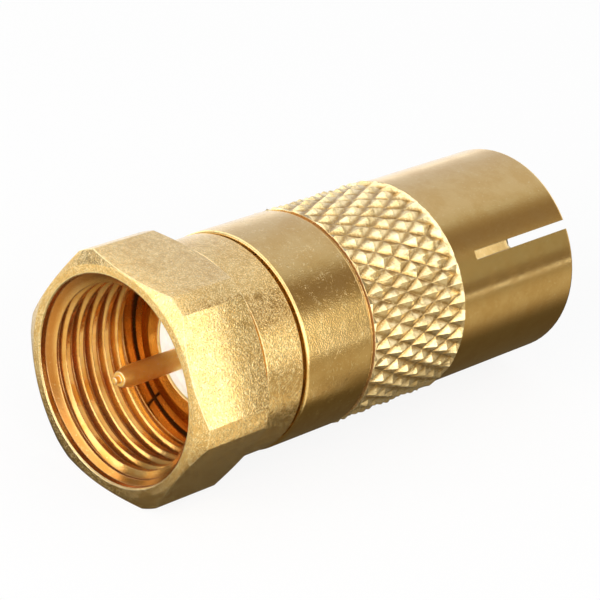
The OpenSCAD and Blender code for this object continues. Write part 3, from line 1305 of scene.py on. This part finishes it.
@dataclass
class SocketContact(Part):
    """Socket with four spring leaves, bored at its front end for the pin."""

    hole_radius: float = 0.7
    collar_radius: float = 2.2
    collar_edge: float = 0.1
    outer_radius: float = 1.7
    outer_edge: float = 0.12
    bore_radius: float = 1.2
    lead: float = 0.25
    web: float = 1.4
    cut_width: float = 0.3
    cut_length: float = 5.6
    cut_angle: float = math.radians(186)
    overrun: float = 1.0
    steps: int = 96

    def build(self) -> bpy.types.Object:
        """Turns the socket, saws its leaves and dresses it."""
        front, rear = self.axis.ends("socket_contact")
        collar_rear = self.axis.rear("front_body")
        hole_end = self.axis.rear("centre_pin")
        floor = hole_end + self.web
        socket = turned([
            Corner(front, self.hole_radius),
            Corner(front, self.collar_radius, self.collar_edge),
            Corner(collar_rear, self.collar_radius),
            Corner(collar_rear, self.outer_radius),
            Corner(rear, self.outer_radius, self.outer_edge),
            Corner(rear, self.bore_radius + self.lead),
            Corner(rear - self.lead, self.bore_radius),
            Corner(floor, self.bore_radius),
            Corner(floor, 0),
            Corner(hole_end, 0),
            Corner(hole_end, self.hole_radius),
        ], steps=self.steps)
        across = (-2 * self.outer_radius, 2 * self.outer_radius)
        cut = (rear - self.cut_length, rear + self.overrun)
        for angle in (self.cut_angle, self.cut_angle + math.pi / 2):
            socket = combined(socket, saw_blade(self.cut_width, across, cut, angle), Join.CUT)
        finish = PIN_GOLD.material()
        return self.keep(
            socket, "socket_leaves", "socket_contact", "adapter", "pin_gold", finish
        )


# ---------------------------------------------------------------- studio


@dataclass(frozen=True)
class SoftLamp:
    """A soft lamp that faces the adapter and shows in nothing polished.

    Args:
        toward: direction from the adapter to the lamp.
        level: how bright its face is, where 1 is white.
        length: its length, in metres.
        width: its width, in metres.
        distance: its distance, in metres.
    """

    toward: Triple
    level: float
    length: float
    width: float
    distance: float = 0.3

    def build(self, name: str) -> None:
        """Hangs the lamp.

        Args:
            name: the lamp's name.
        """
        data = bpy.data.lights.new(name, "AREA")
        data.shape = "RECTANGLE"
        data.size = self.length
        data.size_y = self.width
        data.energy = self.level * self.length * self.width * math.pi
        obj = bpy.data.objects.new(name, data)
        obj.visible_camera = False
        obj.visible_glossy = False
        out = Vector(self.toward).normalized()
        turn = out.to_track_quat("Z", "Y").to_matrix().to_4x4()
        obj.matrix_world = Matrix.Translation(out * self.distance) @ turn
        bpy.context.scene.collection.objects.link(obj)


class Card:
    """A glowing surface that is seen in the polished metal alone."""

    name = "card"

    def mesh(self) -> Solid:
        """Makes its mesh, in mm."""
        raise NotImplementedError

    def surface(self, nodes: Nodes, place: Any) -> Socket:
        """Makes its shader.

        Args:
            nodes: the material's tree.
            place: outputs for the place along X, Y and Z, in mm.

        Returns:
            The shader's output.
        """
        raise NotImplementedError

    def build(self) -> None:
        """Puts the card in its place."""
        bm = self.mesh()
        bmesh.ops.scale(bm, vec=(MM, MM, MM), verts=bm.verts)
        obj = linked(bm, self.name)
        material, nodes, _ = new_material(self.name)
        place = nodes.add("SeparateXYZ", Vector=Millimetres.place(nodes)[0]).outputs
        output = nodes.tree.nodes["Material Output"]
        nodes.feed(output.inputs["Surface"], self.surface(nodes, place))
        obj.data.materials.append(material)
        obj.visible_camera = False
        obj.visible_diffuse = False
        obj.visible_transmission = False
        obj.visible_volume_scatter = False
        obj.visible_shadow = False


@dataclass
class Drum(Card):
    """Closed drum of glowing cards round the adapter, seen in the metal alone: painted reflections of
    white in front, a bright key strip, and brown bands of painted shade behind.

    Angles go round the axis in degrees from +Y towards +Z, and places along it are in mm.
    """

    name: str = "drum"
    sides: int = 64
    radius: float = 120.0
    front: float = -120.0
    rear: float = 400.0
    white: float = 2.0
    white_start: Span = (-45.0, -20.0)
    white_end: Span = (35.0, 64.0)
    cap_depth: float = 1.0
    cap_level: float = 2.4
    cap_rise: Span = (-10.0, 30.0)
    cap_low: float = 0.7
    back_end: Span = (-30.0, 0.0)
    back_rise: Span = (12.0, 26.0)
    back_level: float = 0.3
    key_start: Span = (140.0, 147.0)
    key_end: Span = (162.0, 170.0)
    key_spread: float = 16.0
    spread_fade: Span = (86.0, 104.0)
    key_fade: Span = (83.0, 89.0)
    key_bright: Colour = (2.4, 2.4, 2.3)
    key_dim: Colour = (0.36, 0.33, 0.25)
    spot_start: Span = (35.0, 50.0)
    spot_end: Span = (60.0, 78.0)
    spot_gain: float = 0.4
    far_end: Span = (165.0, 240.0)
    far_level: float = 1.1
    # Painted reflection levels round the drum; the brown rows paint shade in the metal.
    wall: Stops = (
        (0.0, (1.2, 1.2, 1.2)),
        (6.0, (0.87, 0.87, 0.92)),
        (18.0, (0.70, 0.71, 0.80)),
        (30.0, (0.66, 0.67, 0.78)),
        (85.0, (0.66, 0.66, 0.72)),
        (98.0, (0.58, 0.57, 0.56)),
        (108.0, (0.34, 0.28, 0.20)),
        (116.0, (0.27, 0.21, 0.15)),
        (128.0, (0.29, 0.23, 0.17)),
        (138.0, (0.40, 0.34, 0.25)),
        (156.0, (0.38, 0.32, 0.23)),
        (166.0, (0.26, 0.21, 0.14)),
        (176.0, (0.22, 0.17, 0.11)),
        (180.0, (0.25, 0.20, 0.13)),
    )

    def mesh(self) -> Solid:
        """A drum round the adapter's axis."""
        bm = bar(self.sides, self.radius, self.rear - self.front)
        middle = ((self.front + self.rear) / 2, 0, AXIS_HEIGHT)
        bmesh.ops.translate(bm, vec=middle, verts=bm.verts)
        return bm

    def surface(self, nodes: Nodes, place: Any) -> Socket:
        """Paints the cards by the angle round the axis and the place along it."""
        along = place[0]
        rise = nodes.maths("SUBTRACT", place[2], AXIS_HEIGHT)
        angle = nodes.maths("DEGREES", nodes.maths("ARCTAN2", rise, place[1]))
        spread = nodes.ramp(along, *self.spread_fade, self.key_spread, 0.0)
        key_fall = nodes.ramp(nodes.maths("SUBTRACT", angle, spread), *self.key_end, 1.0, 0.0)
        key = nodes.maths("MULTIPLY", nodes.ramp(angle, *self.key_start), key_fall)
        strip = nodes.blend(nodes.ramp(along, *self.key_fade), self.key_bright, self.key_dim)
        colour = nodes.blend(key, nodes.steps(angle, self.wall), strip)
        spot = nodes.maths("MULTIPLY", key, nodes.between(along, self.spot_start, self.spot_end))
        level = nodes.maths("MULTIPLY_ADD", spot, self.spot_gain, 1.0)
        back_along = nodes.ramp(along, *self.back_end, 1.0, 0.0)
        back_round = nodes.ramp(angle, *self.back_rise, 1.0, 0.0)
        back = nodes.maths("MULTIPLY", back_along, back_round)
        level = nodes.mixed(back, level, self.back_level)
        near = nodes.between(along, self.white_start, self.white_end)
        level = nodes.mixed(near, level, self.white)
        far = nodes.ramp(along, *self.far_end)
        level = nodes.mixed(far, level, self.far_level)
        cap = nodes.maths("LESS_THAN", along, self.front + self.cap_depth)
        cap_level = nodes.ramp(rise, *self.cap_rise, self.cap_low, self.cap_level)
        level = nodes.mixed(cap, level, cap_level)
        plain = nodes.maths("MAXIMUM", nodes.maths("MAXIMUM", near, far), cap)
        colour = nodes.blend(plain, colour, (1.0, 1.0, 1.0))
        return nodes.add("Emission", Color=colour, Strength=level).outputs[0]


@dataclass
class ShadowFloorCard(Card):
    """Glowing sheet over the floor, seen in the metal alone: painted shadow close under the adapter, a
    tan painted reflection in front of it and white behind.

    Places along and beside the axis are in mm.
    """

    name: str = "shadow_floor_card"
    length: float = 500.0
    depth: float = 260.0
    lift: float = 0.02
    reach: Span = (-22.0, -14.0)
    side: Span = (-11.0, -8.5)
    side_reach: Span = (-2.0, 4.0)
    open_floor: Colour = (1.0, 0.9, 0.7)
    # Levels by the distance beside the axis; the dark rows from -10 to 8 mm are painted shadow under the
    # adapter.
    beside: Stops = (
        (-130.0, (0.26, 0.21, 0.14)),
        (-80.0, (0.30, 0.25, 0.17)),
        (-43.0, (0.42, 0.36, 0.25)),
        (-20.0, (0.54, 0.47, 0.34)),
        (-14.5, (0.50, 0.43, 0.30)),
        (-12.0, (0.40, 0.33, 0.22)),
        (-10.0, (0.22, 0.17, 0.10)),
        (-8.0, (0.11, 0.085, 0.045)),
        (5.0, (0.10, 0.075, 0.04)),
        (8.0, (0.14, 0.11, 0.07)),
        (14.0, (0.75, 0.72, 0.66)),
        (22.0, (1.1, 1.1, 1.1)),
        (130.0, (1.15, 1.15, 1.15)),
    )

    def mesh(self) -> Solid:
        """A flat sheet just above the floor."""
        bm = bmesh.new()
        bmesh.ops.create_grid(bm, x_segments=1, y_segments=1, size=0.5)
        bmesh.ops.scale(bm, vec=(self.length, self.depth, 1), verts=bm.verts)
        bmesh.ops.translate(bm, vec=(0, 0, self.lift), verts=bm.verts)
        return bm

    def surface(self, nodes: Nodes, place: Any) -> Socket:
        """Paints the sheet by the distance beside the adapter and in front of its mouth, dark as painted
        shadow close under it.
        """
        past_side = nodes.ramp(place[1], *self.side)
        past_mouth = nodes.ramp(place[0], *self.side_reach)
        beside = nodes.maths("MAXIMUM", past_side, past_mouth)
        under = nodes.maths("MINIMUM", nodes.ramp(place[0], *self.reach), beside)
        colour = nodes.blend(under, self.open_floor, nodes.steps(place[1], self.beside))
        return nodes.add("Emission", Color=colour, Strength=1.0).outputs[0]


class Studio:
    """Floor, surroundings, lamps, cards and camera."""

    floor_size = 6.0
    floor_colour = (0.9, 0.9, 0.9, 1)
    floor_roughness = 0.9
    floor_gloss = 0.1
    floor_glow = 0.88
    world_level = 0.65
    lamps = {
        "key": SoftLamp((0.0, -0.86, 0.52), level=1.6, length=1.0, width=0.12),
        "front": SoftLamp((-0.95, -0.1, 0.3), level=4.5, length=0.25, width=0.25),
    }
    # Place of the camera in mm, its turns about X, Y and Z in degrees, its lens and sensor in mm.
    camera_place = Vector((-86.95, -74.16, 66.05))
    camera_turns = (61.328, -8.263, -44.863)
    lens = 160.732
    sensor = 36.0
    lens_shift = (-0.00858, 0.04872)
    sight = (0.01, 20)

    def floor(self) -> None:
        """Lays the plain pale floor."""
        bm = bmesh.new()
        bmesh.ops.create_grid(bm, x_segments=1, y_segments=1, size=self.floor_size)
        obj = linked(bm, "floor")
        material, nodes, shader = new_material("floor_white")
        shader.inputs["Base Color"].default_value = self.floor_colour
        shader.inputs["Roughness"].default_value = self.floor_roughness
        shader.inputs["Specular IOR Level"].default_value = self.floor_gloss
        white = nodes.add("Emission", Color=(1, 1, 1, 1), Strength=1.0)
        mixed = nodes.add("MixShader", i1=shader.outputs[0], i2=white.outputs[0])
        path = nodes.add("LightPath").outputs
        seen = nodes.maths("MAXIMUM", path["Is Glossy Ray"], path["Is Transmission Ray"])
        seen = nodes.maths("MAXIMUM", path["Is Camera Ray"], seen)
        nodes.feed(mixed.inputs[0], nodes.maths("MULTIPLY", seen, self.floor_glow))
        output = nodes.tree.nodes["Material Output"]
        nodes.feed(output.inputs["Surface"], mixed.outputs[0])
        obj.data.materials.append(material)

    def world(self) -> None:
        """Sets the plain pale surroundings."""
        world = bpy.data.worlds.new("studio")
        world.use_nodes = True
        back = world.node_tree.nodes["Background"]
        back.inputs["Color"].default_value = (1, 1, 1, 1)
        back.inputs["Strength"].default_value = self.world_level
        bpy.context.scene.world = world

    def camera(self) -> None:
        """Places the camera."""
        data = bpy.data.cameras.new("camera")
        data.sensor_width = self.sensor
        data.lens = self.lens
        data.shift_x, data.shift_y = self.lens_shift
        data.clip_start, data.clip_end = self.sight
        obj = bpy.data.objects.new("camera", data)
        turn = Euler([math.radians(angle) for angle in self.camera_turns])
        obj.matrix_world = Matrix.LocRotScale(self.camera_place * MM, turn, None)
        bpy.context.scene.collection.objects.link(obj)
        bpy.context.scene.camera = obj

    def build(self) -> None:
        """Sets the whole studio round the adapter."""
        bpy.context.scene.view_settings.view_transform = "Standard"
        self.floor()
        self.world()
        for name, lamp in self.lamps.items():
            lamp.build(name)
        for card in (Drum(), ShadowFloorCard()):
            card.build()
        self.camera()


def main() -> None:
    """Builds the adapter and its studio."""
    logging.basicConfig(level=logging.INFO, format="%(name)s %(message)s")
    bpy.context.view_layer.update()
    axis = Axis.of_frame()
    for part in (CouplingNut, RetainingRing, FrontBody, RearBody, Insulators, CentrePin, SocketContact):
        part(axis).build()
    Studio().build()


if __name__ == "__main__":
    main()
